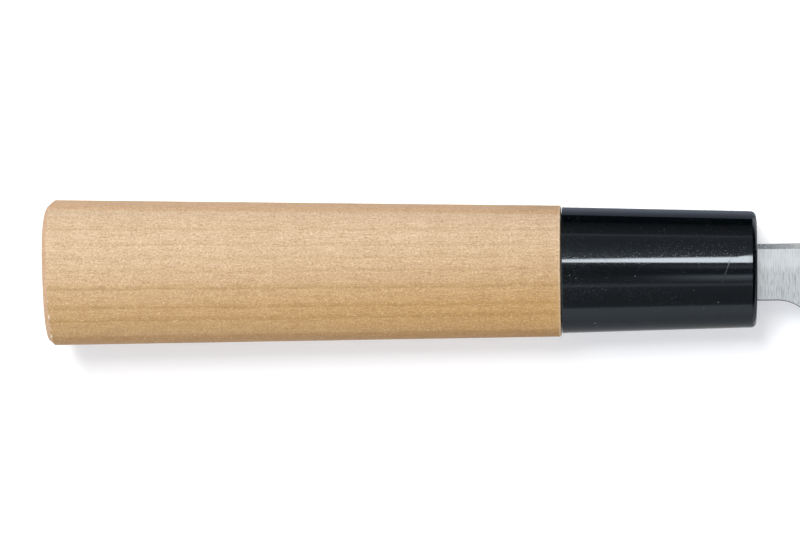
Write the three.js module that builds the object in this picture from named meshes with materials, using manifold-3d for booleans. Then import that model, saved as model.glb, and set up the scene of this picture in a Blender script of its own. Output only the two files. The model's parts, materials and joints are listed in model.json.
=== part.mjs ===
// Deba kitchen knife: a thick single-bevel steel blade with a stick tang, an oval wooden grip
// and a moulded ferrule, bedded and sealed with resin.
// Millimetres. The knife is drawn in its own frame: X runs along the handle's axis from butt to
// tip, Y towards the spine and Z towards the front face, the one that carries the bevel. The
// origin is the centre of the ferrule's front face. The whole knife is then laid on a table,
// front face up, the way its own weight lets it rest.

import * as THREE from 'three';
import { mergeVertices } from 'three/addons/utils/BufferGeometryUtils.js';
import { ConvexHull } from 'three/addons/math/ConvexHull.js';
import Module from 'manifold-3d';

// Grip, from the butt to the shoulder that meets the ferrule
const gripLength = 94.5;
const buttHeight = 26.7;
const buttThickness = 20;
const shoulderHeight = 23.8;
const shoulderThickness = 18.2;
const chamferLength = 0.95;
const chamferDepth = 0.8;
const shoulderBreak = 0.35;

// How far below the handle's axis the middle of the shoulder sits
const shoulderDrop = 0.16;

// Ferrule, a cap with a socket at its back and a slot for the tang in its front wall
const ferruleLength = 35.5;
const ferruleBackHeight = 22.9;
const ferruleBackThickness = 17.4;
const ferruleFrontHeight = 21;
const ferruleFrontThickness = 16.4;
const ferruleRound = 0.9;
const ferruleWall = 2.2;
const ferruleFrontWall = 5;

// Oval of the handle: a power of 2 is an ellipse, a higher one has fuller corners
const ovalPower = 2.6;

// Blade outline, seen on the front face
const neckTop = 4.2;
const neckBottom = 5.4;
const neckLength = 10.8;
const choilRadius = 7;
const edgeLength = 150;
const heelDepth = 41.6;
const tipDepth = 11.5;
const spineRun = 70;
const spineRise = 1.2;
const spineFallRun = 45;
const spineFallHeight = 4;
const edgeRun = 62;
const bellyRun = 26;
const bellyDepth = 34;

// Blade grind: a thickness that tapers to the tip, a bevel on the front face and a hollow back
const neckThickness = 4.8;
const tipThickness = 1.6;
const bevelWidth = 17.5;
const bevelSweep = 3;
const edgeLand = 0.25;
const hollowWheelRadius = 630;
const hollowRim = 2.2;
const hollowRunIn = 14;

// Tang, hidden in the handle
const tangLength = 92;
const tangEndHeight = 5;
const tangEndThickness = 3;

// Fits: the glue line between bonded pieces, and the resin round the tang and in the slot
const bondLine = 0.3;
const beddingWall = 0.8;
const boreRunout = 4;
const sealWall = 0.7;
const sealRecess = 0.3;

// Densities in grams per cubic millimetre, for the balance of the resting knife
const steelDensity = 0.00775;
const woodDensity = 0.0006;
const plasticDensity = 0.0011;
const resinDensity = 0.0012;

// Fineness of the facets
const ovalSides = 80;
const roundSteps = 5;
const cornerSteps = 3;
const outlineSteps = 48;
const grindSteps = 48;
const hollowSteps = 8;

// Margin by which one shape runs past another that it cuts or trims
const overrun = 1;

// Places along the handle and the blade
const jointX = -ferruleLength;
const buttX = jointX - gripLength;
const tenonEndX = -ferruleFrontWall - bondLine;
const boreEndX = -tangLength - boreRunout;
const heelX = neckLength;
const tipX = heelX + edgeLength;
const tangEndRadius = tangEndHeight / 2;

// Room that each hidden layer takes round the tang
const innerFit = bondLine;
const beddingFit = innerFit + beddingWall;
const boreFit = beddingFit + bondLine;
const sealFit = innerFit + sealWall;
const slotFit = sealFit + bondLine;

const lerp = THREE.MathUtils.lerp;
const clamp = THREE.MathUtils.clamp;
const wasm = await Module();
wasm.setup();

// A closed geometry as a solid that can be joined and cut
function toSolid(geometry) {
  const bare = geometry.clone();
  bare.deleteAttribute('normal');
  bare.deleteAttribute('uv');
  const merged = mergeVertices(bare);
  return new wasm.Manifold(new wasm.Mesh({
    numProp: 3,
    vertProperties: new Float32Array(merged.attributes.position.array),
    triVerts: new Uint32Array(merged.index.array),
  }));
}

// A solid back as a geometry
function toGeometry(solid) {
  const mesh = solid.getMesh();
  const geometry = new THREE.BufferGeometry();
  geometry.setAttribute('position', new THREE.BufferAttribute(mesh.vertProperties, 3));
  geometry.setIndex(new THREE.BufferAttribute(mesh.triVerts, 1));
  geometry.computeVertexNormals();
  return geometry;
}

// Closed solid through rings of points. The rings follow each other towards +X, and each runs
// counter-clockwise seen from the tip.
function loft(rings) {
  const count = rings[0].length;
  const indices = [];
  for (let ring = 0; ring < rings.length - 1; ring += 1) {
    for (let side = 0; side < count; side += 1) {
      const here = ring * count + side;
      const next = ring * count + ((side + 1) % count);
      indices.push(here, next, next + count);
      indices.push(here, next + count, here + count);
    }
  }
  const capOf = (ring) => {
    const outline = ring.map((point) => new THREE.Vector2(point.y, point.z));
    return THREE.ShapeUtils.triangulateShape(outline, []);
  };
  const last = (rings.length - 1) * count;
  capOf(rings[0]).forEach(([a, b, c]) => indices.push(c, b, a));
  capOf(rings[rings.length - 1]).forEach(([a, b, c]) => indices.push(last + a, last + b, last + c));
  const geometry = new THREE.BufferGeometry().setFromPoints(rings.flat());
  geometry.setIndex(indices);
  return toSolid(geometry);
}

// Ring of the handle's oval, with its middle dropped below the axis
function ovalRing(x, height, thickness, drop) {
  const swell = (value) => Math.sign(value) * Math.abs(value) ** (2 / ovalPower);
  return Array.from({ length: ovalSides }, (_, side) => {
    const angle = (2 * Math.PI * side) / ovalSides;
    const y = (swell(Math.cos(angle)) * height) / 2 - drop;
    const z = (swell(Math.sin(angle)) * thickness) / 2;
    return new THREE.Vector3(x, y, z);
  });
}

// Oval that tapers evenly between two places, as a ring at any x, drawn in by an inset
function taperedOval(back, front) {
  return (x, inset) => {
    const share = (x - back.x) / (front.x - back.x);
    const height = lerp(back.height, front.height, share) - 2 * inset;
    const thickness = lerp(back.thickness, front.thickness, share) - 2 * inset;
    return ovalRing(x, height, thickness, lerp(back.drop, front.drop, share));
  };
}

const gripOval = taperedOval(
  { x: buttX, height: buttHeight, thickness: buttThickness, drop: 0 },
  { x: jointX, height: shoulderHeight, thickness: shoulderThickness, drop: shoulderDrop },
);
const ferruleOval = taperedOval(
  { x: jointX, height: ferruleBackHeight, thickness: ferruleBackThickness, drop: 0 },
  { x: 0, height: ferruleFrontHeight, thickness: ferruleFrontThickness, drop: 0 },
);

// Rings of the ferrule's rounded rim, from the full oval to the front face
function rimRings() {
  return Array.from({ length: roundSteps + 1 }, (_, step) => {
    const angle = (Math.PI / 2) * (step / roundSteps);
    const x = ferruleRound * (Math.sin(angle) - 1);
    return ferruleOval(x, ferruleRound * (1 - Math.cos(angle)));
  });
}

// Ring that lies a set distance outside the tapering tang, with corners round the same distance
function tangRing(x, fit) {
  const share = -x / (tangLength - tangEndRadius);
  const top = lerp(neckTop, tangEndRadius, share);
  const bottom = lerp(-neckBottom, -tangEndRadius, share);
  const half = lerp(neckThickness, tangEndThickness, share) / 2;
  const corners = [[top, half], [bottom, half], [bottom, -half], [top, -half]];
  return corners.flatMap(([y, z], corner) => Array.from({ length: cornerSteps + 1 }, (_, step) => {
    const angle = (Math.PI / 2) * (corner + step / cornerSteps);
    return new THREE.Vector3(x, y + fit * Math.cos(angle), z + fit * Math.sin(angle));
  }));
}

// Bar round the tang between two places
function tangSleeve(backX, frontX, fit) {
  return loft([tangRing(backX, fit), tangRing(frontX, fit)]);
}

// Spine and edge of the blade as curves from the handle to the tip
const tip = new THREE.Vector2(tipX, -tipDepth);
const spineCurve = new THREE.CubicBezierCurve(
  new THREE.Vector2(0, neckTop),
  new THREE.Vector2(spineRun, neckTop + spineRise),
  new THREE.Vector2(tipX - spineFallRun, spineFallHeight),
  tip,
);
const edgeCurve = new THREE.CubicBezierCurve(
  new THREE.Vector2(heelX, -heelDepth),
  new THREE.Vector2(heelX + edgeRun, -heelDepth),
  new THREE.Vector2(tipX - bellyRun, -bellyDepth),
  tip,
);

// Height of such a curve at a place along X, which grows steadily along it
function heightAt(curve, x) {
  const halvings = 40;
  let low = 0;
  let high = 1;
  for (let step = 0; step < halvings; step += 1) {
    const middle = (low + high) / 2;
    if (curve.getPoint(middle).x < x) {
      low = middle;
    } else {
      high = middle;
    }
  }
  return curve.getPoint(low).y;
}

// Outline of the blank: round tang end, neck, choil, heel, edge, tip and spine
function blankOutline() {
  const tangEndCentre = tangEndRadius - tangLength;
  const choilX = heelX - choilRadius;
  const shape = new THREE.Shape();
  shape.moveTo(tangEndCentre, tangEndRadius);
  shape.absarc(tangEndCentre, 0, tangEndRadius, Math.PI / 2, 1.5 * Math.PI, false);
  shape.lineTo(0, -neckBottom);
  shape.lineTo(choilX, -neckBottom);
  shape.absarc(choilX, -neckBottom - choilRadius, choilRadius, Math.PI / 2, 0, true);
  shape.lineTo(heelX, -heelDepth);
  shape.bezierCurveTo(edgeCurve.v1.x, edgeCurve.v1.y, edgeCurve.v2.x, edgeCurve.v2.y, tip.x, tip.y);
  shape.bezierCurveTo(spineCurve.v2.x, spineCurve.v2.y, spineCurve.v1.x, spineCurve.v1.y, 0, neckTop);
  return shape;
}

// Back face and thickness of the flat steel at a place along X, before the bevel and the hollow.
// The back stays true from neck to tip, the front tapers, and the tang tapers on both faces.
function flatSteel(x) {
  if (x >= 0) {
    const thickness = lerp(neckThickness, tipThickness, Math.min(x / tipX, 1));
    return { back: -neckThickness / 2, thickness };
  }
  const thickness = lerp(neckThickness, tangEndThickness, -x / (tangLength - tangEndRadius));
  return { back: -thickness / 2, thickness };
}

// Width and slope of the bevel where the blade has a height. The ridge above it climbs from the
// heel to meet the spine at the tip, and the slope is never steeper than at the heel.
function bevelAt(x, height) {
  const along = clamp((x - heelX) / edgeLength, 0, 1);
  const heelHeight = heightAt(spineCurve, heelX) + heelDepth;
  const width = height * lerp(bevelWidth / heelHeight, 1, along ** bevelSweep);
  const steepest = (flatSteel(Math.min(x, heelX)).thickness - edgeLand) / bevelWidth;
  const slope = Math.min(steepest, (flatSteel(x).thickness - edgeLand) / width);
  return { width, slope };
}

// Points of the hollow across the back, from edge to spine: the track of a large grinding wheel
// between two flat rims. It starts at the heel.
function hollowPoints(x, edge, spine, back) {
  const half = (spine - edge) / 2 - Math.min(hollowRim, (spine - edge) / 4);
  const runIn = THREE.MathUtils.smoothstep(x, heelX, heelX + hollowRunIn);
  const depth = (runIn * half ** 2) / (2 * hollowWheelRadius);
  return Array.from({ length: hollowSteps + 1 }, (_, step) => {
    const across = lerp(-1, 1, step / hollowSteps);
    return [(spine + edge) / 2 + across * half, back + depth * (1 - across ** 2)];
  });
}

// Section left by the grinding. It runs past the spine and past the edge, where the outline of
// the blank trims it.
function grindRing(x) {
  const bladeX = clamp(x, heelX, tipX);
  const edge = heightAt(edgeCurve, bladeX);
  const spine = Math.max(heightAt(spineCurve, bladeX), edge);
  const { back } = flatSteel(x);
  const bevel = bevelAt(x, spine - edge);
  const front = back + edgeLand + bevel.slope * bevel.width;
  const foot = edge - edgeLand / bevel.slope / 2;
  const section = [
    [spine + overrun, front],
    [edge + bevel.width, front],
    [foot, back + edgeLand / 2],
    [foot, back],
    ...hollowPoints(x, edge, spine, back),
    [spine + overrun, back],
  ];
  return section.map(([y, z]) => new THREE.Vector3(x, y, z));
}

// Blade, neck and tang in one piece of steel: the cut blank, ground to its section
function bladeSolid() {
  const depth = 2 * neckThickness;
  const options = { depth, bevelEnabled: false, curveSegments: outlineSteps };
  const blank = new THREE.ExtrudeGeometry(blankOutline(), options);
  blank.translate(0, 0, -depth / 2);
  const stations = [-tangLength - overrun, 0];
  for (let step = 0; step <= grindSteps; step += 1) {
    stations.push(heelX + edgeLength * (step / grindSteps));
  }
  stations.push(tipX + overrun);
  return toSolid(blank).intersect(loft(stations.map(grindRing)));
}

// Wooden grip: chamfered butt, shoulder, and a tenon for the ferrule, bored for the tang
function gripSolid() {
  const socketInset = ferruleWall + bondLine;
  const body = loft([
    gripOval(buttX, chamferDepth),
    gripOval(buttX + chamferLength, 0),
    gripOval(jointX - shoulderBreak, 0),
    gripOval(jointX, shoulderBreak),
    ferruleOval(jointX, socketInset),
    ferruleOval(tenonEndX, socketInset),
  ]);
  return body.subtract(tangSleeve(boreEndX, tenonEndX + overrun, boreFit));
}

// Ferrule: a tapered cap with a rounded rim, a socket for the tenon and a slot for the tang
function ferruleSolid() {
  const backX = jointX + bondLine;
  const cap = loft([ferruleOval(backX, 0), ...rimRings()]);
  const socket = loft([
    ferruleOval(backX - overrun, ferruleWall),
    ferruleOval(-ferruleFrontWall, ferruleWall),
  ]);
  const slot = tangSleeve(-ferruleFrontWall - overrun, overrun, slotFit);
  return cap.subtract(socket).subtract(slot);
}

// Resin that beds the tang in the bore, closed past the tang's end
function beddingSolid() {
  const outside = tangSleeve(boreEndX + bondLine, tenonEndX, beddingFit);
  return outside.subtract(tangSleeve(-tangLength - bondLine, tenonEndX + overrun, innerFit));
}

// Resin ring that seals the slot round the neck
function sealSolid() {
  const outside = tangSleeve(-ferruleFrontWall, -sealRecess, sealFit);
  return outside.subtract(tangSleeve(-ferruleFrontWall - overrun, overrun, innerFit));
}

const steel = new THREE.MeshStandardMaterial({ color: 0xc3c6c8, roughness: 0.38, metalness: 1 });
const wood = new THREE.MeshStandardMaterial({ color: 0xd8b68e, roughness: 0.7, metalness: 0 });
const plastic = new THREE.MeshStandardMaterial({ color: 0x0e0f11, roughness: 0.12, metalness: 0 });
const resin = new THREE.MeshStandardMaterial({ color: 0x8a6a3c, roughness: 0.4, metalness: 0 });
const sealant = new THREE.MeshStandardMaterial({ color: 0x2b2a28, roughness: 0.45, metalness: 0 });

const pieces = [
  { name: 'blade', solid: bladeSolid(), material: steel, density: steelDensity },
  { name: 'grip', solid: gripSolid(), material: wood, density: woodDensity },
  { name: 'ferrule', solid: ferruleSolid(), material: plastic, density: plasticDensity },
  { name: 'tang_bedding', solid: beddingSolid(), material: resin, density: resinDensity },
  { name: 'mouth_seal', solid: sealSolid(), material: sealant, density: resinDensity },
];

// Points of a geometry, three for each of its triangles
function cornersOf(geometry) {
  const positions = geometry.toNonIndexed().attributes.position;
  return Array.from({ length: positions.count }, (_, corner) => (
    new THREE.Vector3().fromBufferAttribute(positions, corner)
  ));
}

// Centre of mass of bodies that each have a density, from the tetrahedra under their triangles
function centreOfMass(bodies) {
  const moment = new THREE.Vector3();
  let mass = 0;
  for (const { corners, density } of bodies) {
    for (let at = 0; at < corners.length; at += 3) {
      const [a, b, c] = corners.slice(at, at + 3);
      const share = (density * new THREE.Vector3().crossVectors(b, c).dot(a)) / 6;
      mass += share;
      moment.addScaledVector(a, share / 4);
      moment.addScaledVector(b, share / 4);
      moment.addScaledVector(c, share / 4);
    }
  }
  return moment.divideScalar(mass);
}

// Turn that lays the bodies down on their back, on the face of their hull that lets the centre
// of mass come lowest
function restingTurn(bodies) {
  const centre = centreOfMass(bodies);
  const hull = new ConvexHull().setFromPoints(bodies.flatMap(({ corners }) => corners));
  const down = new THREE.Vector3(0, 0, -1);
  const steepest = Math.cos(Math.PI / 6);
  const under = hull.faces.filter((face) => face.normal.dot(down) > steepest);
  const heightOver = (face) => -face.distanceToPoint(centre);
  const seat = under.reduce((best, face) => (heightOver(face) < heightOver(best) ? face : best));
  return new THREE.Quaternion().setFromUnitVectors(seat.normal, down);
}

const knife = new THREE.Group();
const bodies = pieces.map(({ name, solid, material, density }) => {
  const mesh = new THREE.Mesh(toGeometry(solid), material);
  mesh.name = name;
  knife.add(mesh);
  return { corners: cornersOf(mesh.geometry), density };
});
knife.quaternion.copy(restingTurn(bodies));

// The origin is under the middle of the knife's box, on the table
const part = new THREE.Group();
part.add(knife);
const box = new THREE.Box3().setFromObject(part, true);
const middle = box.getCenter(new THREE.Vector3());
knife.position.set(-middle.x, -middle.y, -box.min.z);

export default part;
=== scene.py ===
"""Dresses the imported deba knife: fine meshes, procedural finishes and a small studio.

Every piece is drawn in the knife's own frame: X runs along the handle from butt to tip, Y towards
the spine and Z out of the bevelled front face, with the origin at the centre of the ferrule's
front face. The knife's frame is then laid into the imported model's frame by the record's mounts.
"""

import json
import math

import bmesh
import bpy
from bpy.props import FloatProperty, FloatVectorProperty, PointerProperty
from mathutils import Matrix, Vector


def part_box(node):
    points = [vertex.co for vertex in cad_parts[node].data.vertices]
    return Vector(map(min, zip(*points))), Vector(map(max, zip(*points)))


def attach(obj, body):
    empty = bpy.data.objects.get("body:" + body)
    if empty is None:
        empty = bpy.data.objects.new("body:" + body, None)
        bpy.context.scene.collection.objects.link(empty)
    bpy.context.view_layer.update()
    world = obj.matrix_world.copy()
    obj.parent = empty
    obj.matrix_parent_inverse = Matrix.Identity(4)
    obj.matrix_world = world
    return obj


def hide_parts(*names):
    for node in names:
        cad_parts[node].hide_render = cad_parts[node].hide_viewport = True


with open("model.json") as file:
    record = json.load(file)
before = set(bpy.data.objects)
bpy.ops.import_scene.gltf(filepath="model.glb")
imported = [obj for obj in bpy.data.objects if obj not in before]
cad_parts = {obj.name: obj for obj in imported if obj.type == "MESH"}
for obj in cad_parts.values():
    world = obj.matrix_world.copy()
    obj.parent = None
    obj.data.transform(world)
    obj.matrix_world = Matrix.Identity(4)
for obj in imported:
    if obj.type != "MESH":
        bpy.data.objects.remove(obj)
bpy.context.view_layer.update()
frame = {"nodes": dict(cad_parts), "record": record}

bl_info = {
    "name": "Deba knife",
    "version": (1, 0, 0),
    "blender": (4, 5, 0),
    "location": "3D View > Sidebar > Deba knife",
    "description": "Builds the knife's visible pieces, their finishes and a studio",
    "category": "Add Mesh",
}

MM = 0.001
BODY = "root"

# Fineness of the meshes
OVAL_SIDES = 240
ROUND_STEPS = 14
CORNER_STEPS = 8
TAPER_STEPS = 12
BLADE_STATIONS = 140
NECK_STATIONS = 14
CHOIL_STATIONS = 28
TANG_END_STATIONS = 8
FACE_STEPS = 16
BEVEL_STEPS = 12
# Share of the ferrule's taper that a narrow ring takes, so that the shading turns at its edge alone
SUPPORT = 0.003
# Power by which the blade's stations crowd towards the tip
TIP_CROWDING = 1.6
# Halvings that find the height of a curve
HALVINGS = 40
# Largest share of a section that a rim, a break or the small bevel takes where the steel is narrow
NARROW = 1 / 4
# Share of the choil's arc over which its broken edges run out towards the heel
BREAK_RUNOUT = 1 / 6
# Places in a section of the steel where the two breaks of its spine start and end
SPINE_BREAKS = (0, CORNER_STEPS, -CORNER_STEPS - 1, -1)
# Places in a section of the neck where its front face ends, and where its lower breaks start and end
FACE_END = CORNER_STEPS + FACE_STEPS
UNDER_START = FACE_END + CORNER_STEPS
NECK_BREAKS = (FACE_END, UNDER_START, UNDER_START + 1, UNDER_START + 1 + CORNER_STEPS)
# Distance at which points are one, and angle from which an edge is shaded sharp
WELD = 1e-7
CREASE_ANGLE = math.radians(20)


def length(name, description, millimetres):
    """Size of a piece, written in millimetres and held in metres."""
    return FloatProperty(name=name, description=description, default=millimetres * MM,
                         subtype="DISTANCE", unit="LENGTH", precision=5)


def angle(name, description, degrees):
    """Angle, written in degrees."""
    return FloatProperty(name=name, description=description, default=math.radians(degrees),
                         subtype="ANGLE", unit="ROTATION")


def amount(name, description, value):
    """Plain number."""
    return FloatProperty(name=name, description=description, default=value, precision=3)


def colour(name, description, red, green, blue):
    """Linear colour."""
    return FloatVectorProperty(name=name, description=description, default=(red, green, blue),
                               size=3, subtype="COLOR", min=0, max=1)


class DEBA_PG_handle(bpy.types.PropertyGroup):
    """Sizes of the wooden grip, the ferrule and the fits between the pieces"""

    grip_length: length("Grip length", "From the butt to the shoulder at the ferrule", 94.5)
    butt_height: length("Butt height", "Height of the oval at the butt", 26.7)
    butt_thickness: length("Butt thickness", "Thickness of the oval at the butt", 20)
    shoulder_height: length("Shoulder height", "Height of the oval at the shoulder", 23.8)
    shoulder_thickness: length("Shoulder thickness", "Thickness of the oval at the shoulder", 18.2)
    chamfer_length: length("Chamfer length", "Bevelled edge of the butt, along the grip", 0.95)
    chamfer_depth: length("Chamfer depth", "Bevelled edge of the butt, towards its middle", 0.8)
    chamfer_break: length("Chamfer break", "Radius of the chamfer's two edges", 0.1)
    shoulder_break: length("Shoulder break", "Radius of the shoulder's edge", 0.35)
    shoulder_drop: length("Shoulder drop", "Middle of the shoulder below the handle's axis", 0.16)
    ferrule_length: length("Ferrule length", "From the joint to the front face", 35.5)
    ferrule_back_height: length("Ferrule back height", "Height at the joint", 22.9)
    ferrule_back_thickness: length("Ferrule back thickness", "Thickness at the joint", 17.4)
    ferrule_front_height: length("Ferrule front height", "Height at the front face", 21)
    ferrule_front_thickness: length("Ferrule front thickness", "Thickness at the front", 16.4)
    ferrule_round: length("Rim rounding", "Radius of the ferrule's front rim", 0.9)
    ferrule_back_break: length("Back edge break", "Radius of the ferrule's back edge", 0.04)
    ferrule_wall: length("Ferrule wall", "Wall round the tenon", 2.2)
    ferrule_front_wall: length("Ferrule front wall", "Wall that the tang passes through", 5)
    oval_power: amount("Oval power", "2 is an ellipse, more has fuller corners", 2.6)
    bond_line: length("Bond line", "Gap that the glue takes between bonded pieces", 0.3)
    joint_gap: length("Joint gap", "Thin gap that shows between ferrule and shoulder", 0.2)
    bedding_wall: length("Bedding wall", "Resin round the tang in the bore", 0.8)
    bore_runout: length("Bore runout", "Bore past the tang's end", 4)
    seal_wall: length("Seal wall", "Resin round the neck in the slot", 0.7)
    seal_recess: length("Seal recess", "Depth of the seal below the front face", 0.3)
    seal_sag: length("Seal sag", "Dip of the resin between slot and neck", 0.15)


class DEBA_PG_blade(bpy.types.PropertyGroup):
    """Sizes of the blade, its grind and its tang"""

    neck_top: length("Neck top", "Height of the spine above the axis at the ferrule", 4.2)
    neck_bottom: length("Neck bottom", "Depth of the neck below the axis", 5.4)
    neck_length: length("Neck length", "From the ferrule to the heel", 10.8)
    choil_radius: length("Choil radius", "Arc between neck and heel", 7)
    edge_length: length("Edge length", "From heel to tip", 150)
    heel_depth: length("Heel depth", "Depth of the heel below the axis", 41.6)
    tip_depth: length("Tip depth", "Depth of the tip below the axis", 11.5)
    spine_run: length("Spine run", "Straight pull of the spine from the ferrule", 70)
    spine_rise: length("Spine rise", "Lift of that pull", 1.2)
    spine_fall_run: length("Spine fall run", "Pull of the spine at the tip", 45)
    spine_fall_height: length("Spine fall height", "Height of that pull above the axis", 4)
    edge_run: length("Edge run", "Straight pull of the edge from the heel", 62)
    belly_run: length("Belly run", "Pull of the edge at the tip", 26)
    belly_depth: length("Belly depth", "Depth of that pull below the axis", 34)
    neck_thickness: length("Neck thickness", "Thickness of the steel at the ferrule", 4.8)
    tip_thickness: length("Tip thickness", "Thickness that the taper reaches at the tip", 1.6)
    bevel_width: length("Bevel width", "Width of the bevel at the heel", 17.5)
    bevel_sweep: amount("Bevel sweep", "How late the ridge climbs to the spine", 3)
    edge_land: length("Edge land", "Steel left behind the edge by the bevel", 0.25)
    edge_bevel: length("Edge bevel", "Width of the small bevel that ends in the edge", 0.6)
    edge_width: length("Edge width", "What the sharpening leaves at the edge", 0.03)
    hollow_wheel: length("Hollow wheel", "Radius of the wheel that hollowed the back", 630)
    hollow_rim: length("Hollow rim", "Flat rim round the hollow", 2.2)
    hollow_run_in: length("Hollow run-in", "Length over which the hollow deepens", 14)
    spine_break: length("Spine break", "Radius of the edges of the spine", 0.03)
    choil_break: length("Choil break", "Radius of the edges under the neck and in the choil", 0.3)
    tang_length: length("Tang length", "Tang inside the handle", 92)
    tang_end_height: length("Tang end height", "Height of the tang at its end", 5)
    tang_end_thickness: length("Tang end thickness", "Thickness of the tang at its end", 3)


class DEBA_PG_finish(bpy.types.PropertyGroup):
    """Colours of the finishes"""

    wood: colour("Wood", "Sanded face of the grip", 0.63, 0.455, 0.295)
    # Painted shade: darker, warmer wood low down and darker rounds, the upper round partly darker wood
    shaded_lower_wood: colour("Shaded lower wood", "Warmer wood towards the lower side", 0.492, 0.307, 0.136)
    upper_round_grain_and_shade: colour("Upper round", "Wood on the round along the spine side", 0.595, 0.38, 0.215)
    shaded_lower_round: colour("Lower round", "Wood on the round along the lower side", 0.425, 0.24, 0.091)
    growth_line: colour("Growth line", "Thin late wood", 0.33, 0.188, 0.042)
    pore: colour("Pore", "Open pores and fine flecks", 0.36, 0.21, 0.1)
    fleck: colour("Fleck", "Pale flecks between the pores", 0.8, 0.64, 0.45)
    end_grain: colour("End grain", "Wood cut across its fibres", 0.57, 0.365, 0.23)
    worn: colour("Worn edge", "Chips on the edge of the butt", 0.87, 0.79, 0.68)
    plastic: colour("Plastic", "Moulded ferrule", 0.0004, 0.0007, 0.001)
    gloss: colour("Gloss", "Tint of what the ferrule mirrors", 0.73, 0.855, 1)
    dust: colour("Dust", "Specks that lie on the ferrule", 0.13, 0.14, 0.15)
    steel: colour("Steel", "Ground faces of the blade", 0.733, 0.797, 0.84)
    ground_line: colour("Ground line", "Furrows left by the grinding", 0.353, 0.385, 0.417)
    cut_steel: colour("Cut steel", "Spine, left rough", 0.88, 0.9, 0.9)
    # Scale on the choil and heel, and painted shade on every rough face of the steel that turns down
    scale_and_shade_steel: colour("Dark steel", "Choil and heel, left dark", 0.12, 0.12, 0.125)
    bedding: colour("Bedding resin", "Resin round the tang", 0.25, 0.15, 0.05)
    seal: colour("Seal resin", "Resin in the ferrule's slot", 0.025, 0.024, 0.022)


class DEBA_PG_studio(bpy.types.PropertyGroup):
    """Camera and floor"""

    view_roll: angle("View roll", "Turn of the camera towards the spine, from the blade's face", 12)
    view_turn: angle("View turn", "Turn of the camera towards the tip", 4)
    image_roll: angle("Image roll", "Turn of the handle in the picture", 0.28)
    view_place: length("View place", "Middle of the picture along the handle", -65.13)
    view_rise: length("View rise", "Middle of the picture above the handle's axis", 0.81)
    view_distance: length("View distance", "From the handle's axis to the camera", 600)
    lens: amount("Lens", "Focal length in millimetres on a 36 mm sensor", 146.77)
    floor: colour("Floor", "Diffuse colour of the floor", 0.8, 0.8, 0.8)
    floor_glow: colour("Floor glow", "Light added where the floor is seen", 0.25, 0.262, 0.292)
    spine_glow: colour("Spine side glow", "The same on the spine's side, next to the lamp", 0.6, 0.6, 0.6)


# Frame of the knife

def mount(name):
    """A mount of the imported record."""
    return next(row for row in frame["record"]["mounts"] if row["name"] == name)


def knife_frame():
    """The knife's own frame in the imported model's frame, from the butt and the blade's flat."""
    sizes = bpy.context.scene.deba_handle
    butt = mount("butt_end")
    along = -Vector(butt["axis"]).normalized()
    out = Vector(mount("blade_flat")["axis"])
    out = (out - out.dot(along) * along).normalized()
    up = out.cross(along)
    origin = Vector(butt["pos_m"]) + along * (sizes.grip_length + sizes.ferrule_length)
    turn = Matrix((along, up, out)).transposed().to_4x4()
    return Matrix.Translation(origin) @ turn


# Meshes

def lerp(start, end, share):
    """Value part of the way from start to end."""
    return start + (end - start) * share


def smoothstep(value, low, high):
    """Smooth step from 0 at low to 1 at high."""
    share = min(max((value - low) / (high - low), 0), 1)
    return share * share * (3 - 2 * share)


def steps(count):
    """Even shares from just after 0 to 1."""
    return [(step + 1) / count for step in range(count)]


def bridge(mesh, here, there):
    """Faces between two rings of vertices."""
    for side in range(len(here)):
        following = (side + 1) % len(here)
        mesh.faces.new((here[side], here[following], there[following], there[side]))


def sharpen(mesh, here, there, places):
    """Marks the edges that join two rings of vertices at these places as sharp."""
    for place in places:
        mesh.edges.get((here[place], there[place])).smooth = False


def skin(rings, closed):
    """Mesh through rings of points. A row of rings that isn't closed ends in two flat caps."""
    mesh = bmesh.new()
    rows = [[mesh.verts.new(point) for point in ring] for ring in rings]
    for here, there in zip(rows, rows[1:]):
        bridge(mesh, here, there)
    if closed:
        bridge(mesh, rows[-1], rows[0])
    else:
        mesh.faces.new(rows[0])
        mesh.faces.new(rows[-1])
    return mesh


def crease(mesh):
    """Marks the sharp edges of a mesh that is shaded smooth."""
    for edge in mesh.edges:
        if len(edge.link_faces) == 2 and edge.calc_face_angle() > CREASE_ANGLE:
            edge.smooth = False


def add_piece(name, mesh, material, slot, *nodes):
    """Object of the knife: placed, shaded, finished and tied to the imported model."""
    bmesh.ops.remove_doubles(mesh, verts=mesh.verts, dist=WELD)
    bmesh.ops.recalc_face_normals(mesh, faces=mesh.faces)
    bmesh.ops.transform(mesh, matrix=knife_frame(), verts=mesh.verts)
    crease(mesh)
    for face in mesh.faces:
        face.smooth = True
    data = bpy.data.meshes.new(name)
    mesh.to_mesh(data)
    mesh.free()
    data.materials.append(material)
    piece = bpy.data.objects.new(name, data)
    bpy.context.scene.collection.objects.link(piece)
    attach(piece, BODY)
    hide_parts(*nodes)


# Handle

def swell(value, power):
    """Coordinate of a unit oval of that power."""
    return math.copysign(abs(value) ** (2 / power), value)


def oval_ring(x, height, thickness, drop):
    """Ring of the handle's oval, with no point on its axes, so that each quarter has as many."""
    power = bpy.context.scene.deba_handle.oval_power
    ring = []
    for side in range(OVAL_SIDES):
        turn = 2 * math.pi * (side + 0.5) / OVAL_SIDES
        y = swell(math.cos(turn), power) * height / 2 - drop
        z = swell(math.sin(turn), power) * thickness / 2
        ring.append(Vector((x, y, z)))
    return ring


def grip_oval(x, inset):
    """Ring of the tapered grip at x, drawn in by an inset."""
    sizes = bpy.context.scene.deba_handle
    share = (-sizes.ferrule_length - x) / sizes.grip_length
    height = lerp(sizes.shoulder_height, sizes.butt_height, share)
    thickness = lerp(sizes.shoulder_thickness, sizes.butt_thickness, share)
    drop = lerp(sizes.shoulder_drop, 0, share)
    return oval_ring(x, height - 2 * inset, thickness - 2 * inset, drop)


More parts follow.
